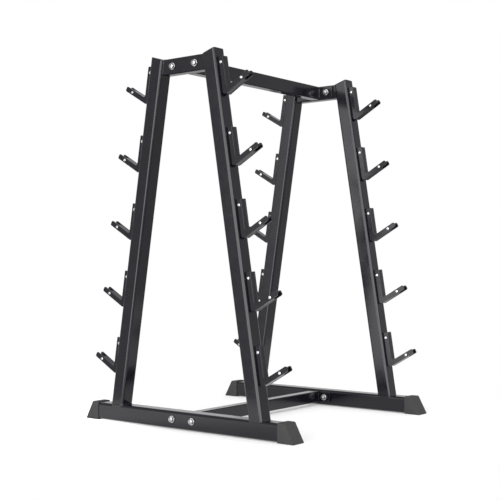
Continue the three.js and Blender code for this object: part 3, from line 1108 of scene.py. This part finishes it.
# The patches of light round the rack: the direction of each, the cosines of the angles from it where
# the patch ends and where it is full, and the heights where it does so at its bottom and at its top
PATCHES = {
    "left bank": ((-0.122, -0.993, 0.1), (0.845, 0.966), (-0.4, -0.25), (0.5, 0.3)),
    "right bank": ((0.819, -0.574, 0), (0.68, 0.85), (-0.09, 0), (0.5, 0.3)),
    "backdrop": ((-0.617, 0.787, 0), (0.45, 0.75), (-0.25, -0.02), (0.9, 0.5)),
}
DIM_BELOW = (-0.5, -0.3, 0.4, 1)  # Two heights below the rack, and the shares of the tone there
LIGHT_POOL_DIRECTION = (-0.5145, -0.8575, 0)  # The direction on the floor in which the painted pool of light grows
LIGHT_POOL_EDGE = (0.4287, 0.7289)  # How far out, in metres, the painted pool of light starts and is full
FLOOR_CLOUDS = 0.98  # Tone of the floor's darker clouds, as a share of its own


class RACK_OT_studio(bpy.types.Operator):
    """Make the camera, the pale floor, the surroundings and the lights"""

    bl_idname = "rack.studio"
    bl_label = "Studio"

    def execute(self, context):
        scene = context.scene
        studio = scene.rack_studio
        add_camera(scene, studio)
        add_floor(scene, studio)
        scene.world = surroundings(studio)
        add_lamp(scene, studio)
        scene.view_settings.view_transform = "Standard"
        return {"FINISHED"}


def add_camera(scene, studio):
    camera = bpy.data.objects.new("camera", bpy.data.cameras.new("camera"))
    scene.collection.objects.link(camera)
    camera.data.lens = studio.focal_length
    camera.data.sensor_width = 36
    camera.data.clip_end = 100
    level_turn = Euler((math.pi / 2 + studio.camera_pitch, 0, studio.camera_yaw), "XYZ")
    roll = Matrix.Rotation(studio.camera_roll, 4, "Z")
    place = Matrix.Translation(studio.camera_place)
    camera.matrix_world = place @ level_turn.to_matrix().to_4x4() @ roll
    scene.camera = camera


def add_floor(scene, studio):
    """A flat square whose material adds white where the camera and shiny surfaces see it, and more
    of it in front of the rack, as a painted pool of light."""
    half = studio.floor_size / 2
    corners = np.array([(-half, -half, 0), (half, -half, 0), (half, half, 0), (-half, half, 0)])
    turn = np.array(Matrix.Rotation(studio.floor_turn, 3, "Z"))
    mesh = bpy.data.meshes.new("floor")
    mesh.from_pydata(corners @ turn.T, [], [range(4)])
    floor = bpy.data.objects.new("floor", mesh)
    scene.collection.objects.link(floor)
    material = bpy.data.materials.new("floor")
    tree = emptied(material)
    place = add_node(tree, "ShaderNodeTexCoord").outputs["Object"]
    clouds = between(tree, noise(tree, place, scale=3, detail=3), *PATCHY)
    pale = np.array(studio.floor_colour)
    tint = blended(tree, clouds, (*pale, 1), (*pale * FLOOR_CLOUDS, 1))
    matte = add_node(tree, "ShaderNodeBsdfDiffuse", {"Color": tint})
    # Painted pool of light: the floor's white grows in front of the rack, where shiny faces reflect it
    front = faded(tree, towards(tree, place, LIGHT_POOL_DIRECTION), *LIGHT_POOL_EDGE)
    white = arithmetic(tree, "MULTIPLY_ADD", front, studio.painted_light_pool, studio.floor_glow)
    strength = arithmetic(tree, "MULTIPLY", seen_share(tree), white)
    glow = add_node(tree, "ShaderNodeEmission", {"Strength": strength})
    shaders = {0: matte.outputs["BSDF"], 1: glow.outputs["Emission"]}
    both = add_node(tree, "ShaderNodeAddShader", shaders)
    add_node(tree, "ShaderNodeOutputMaterial", {"Surface": both.outputs["Shader"]})
    mesh.materials.append(material)
    return floor


def seen_share(tree):
    """1 for rays from the camera, from shiny surfaces and through glass, and 0 for the others."""
    path = add_node(tree, "ShaderNodeLightPath").outputs
    glossy = arithmetic(tree, "ADD", path["Is Glossy Ray"], path["Is Transmission Ray"])
    return arithmetic(tree, "MINIMUM", arithmetic(tree, "ADD", path["Is Camera Ray"], glossy), 1)


def light_patch(tree, direction, height, aim, edge, bottom, top):
    """1 in a patch round one direction and 0 away from it, on smooth slopes: between two cosines of
    the angle from its aim, and between two heights at its bottom and at its top."""
    spot = faded(tree, towards(tree, direction, aim), *edge)
    band = arithmetic(tree, "MULTIPLY", faded(tree, height, *bottom), faded(tree, height, *top))
    return arithmetic(tree, "MULTIPLY", spot, band)


def surroundings(studio):
    """The studio round the rack as a tone for each direction: a level glow, two low banks of soft
    light on the camera's side, left and right of it, and a pale backdrop behind the rack. Steeply
    below the rack it is darker. The camera sees plain white."""
    world = bpy.data.worlds.new("surroundings")
    tree = emptied(world)
    direction = add_node(tree, "ShaderNodeTexCoord").outputs["Generated"]
    height = add_node(tree, "ShaderNodeSeparateXYZ", {"Vector": direction}).outputs["Z"]
    left, right, drop = (
        light_patch(tree, direction, height, *PATCHES[name])
        for name in ("left bank", "right bank", "backdrop")
    )
    bank = arithmetic(tree, "MAXIMUM", left, right)
    lit = arithmetic(
        tree,
        "ADD",
        arithmetic(tree, "MULTIPLY", bank, studio.bank),
        arithmetic(tree, "MULTIPLY_ADD", drop, studio.backdrop, studio.glow),
    )
    tone = arithmetic(tree, "MULTIPLY", lit, between(tree, height, *DIM_BELOW))
    path = add_node(tree, "ShaderNodeLightPath").outputs
    seen = arithmetic(tree, "ADD", path["Is Camera Ray"], path["Is Transmission Ray"])
    strength = add_node(tree, "ShaderNodeMix", {"Factor": seen, 2: tone, 3: 1}).outputs[0]
    sky = add_node(tree, "ShaderNodeBackground", {"Color": (1, 1, 1, 1), "Strength": strength})
    add_node(tree, "ShaderNodeOutputWorld", {"Surface": sky.outputs["Background"]})
    return world


def towards(tree, direction, aim):
    """How far a direction or place lies along an aim of length 1."""
    inputs = {0: direction, 1: aim}
    node = add_node(tree, "ShaderNodeVectorMath", inputs, operation="DOT_PRODUCT")
    return node.outputs["Value"]


def add_lamp(scene, studio):
    """A soft square lamp that faces the rack's middle and isn't seen itself by the camera."""
    data = bpy.data.lights.new("overhead_lamp", "AREA")
    data.size = studio.lamp_size
    data.energy = studio.lamp
    lamp = bpy.data.objects.new("overhead_lamp", data)
    scene.collection.objects.link(lamp)
    facing = sum(map(Vector, CAD_BOX), Vector()) / 2 - studio.lamp_place
    turn = facing.to_track_quat("-Z", "Y").to_matrix().to_4x4()
    lamp.matrix_world = Matrix.Translation(studio.lamp_place) @ turn
    lamp.visible_camera = False


# Panel, registration and the run

OPERATORS = (
    RACK_OT_studio,
    RACK_OT_base_tubes,
    RACK_OT_legs,
    RACK_OT_leg_caps,
    RACK_OT_ties,
    RACK_OT_beams,
    RACK_OT_beam_plates,
    RACK_OT_feet,
    RACK_OT_hooks,
    RACK_OT_bolts,
    RACK_OT_nuts,
    RACK_OT_welds,
)
GROUPS = {
    "rack_tubes": TubeSizes,
    "rack_hooks": HookSizes,
    "rack_bolts": BoltSizes,
    "rack_welds": WeldSizes,
    "rack_finishes": Finishes,
    "rack_studio": Studio,
}


class RACK_PT_panel(bpy.types.Panel):
    """The rack's sizes and colours, and a button for each group of pieces"""

    bl_label = "Barbell Storage Rack"
    bl_idname = "RACK_PT_panel"
    bl_space_type = "VIEW_3D"
    bl_region_type = "UI"
    bl_category = "Rack"

    def draw(self, context):
        layout = self.layout
        for operator in OPERATORS:
            layout.operator(operator.bl_idname)
        for name, group in GROUPS.items():
            box = layout.box()
            box.label(text=group.__name__)
            for prop in group.__annotations__:
                box.prop(getattr(context.scene, name), prop)


def register():
    for item in (*GROUPS.values(), *OPERATORS, RACK_PT_panel):
        bpy.utils.register_class(item)
    for name, group in GROUPS.items():
        setattr(bpy.types.Scene, name, PointerProperty(type=group))


def unregister():
    for name in GROUPS:
        delattr(bpy.types.Scene, name)
    for item in (RACK_PT_panel, *reversed(OPERATORS), *reversed(GROUPS.values())):
        bpy.utils.unregister_class(item)


def main():
    """Makes the whole rack and its studio."""
    register()
    for operator in OPERATORS:
        group, name = operator.bl_idname.split(".")
        getattr(getattr(bpy.ops, group), name)()


if __name__ == "__main__":
    main()
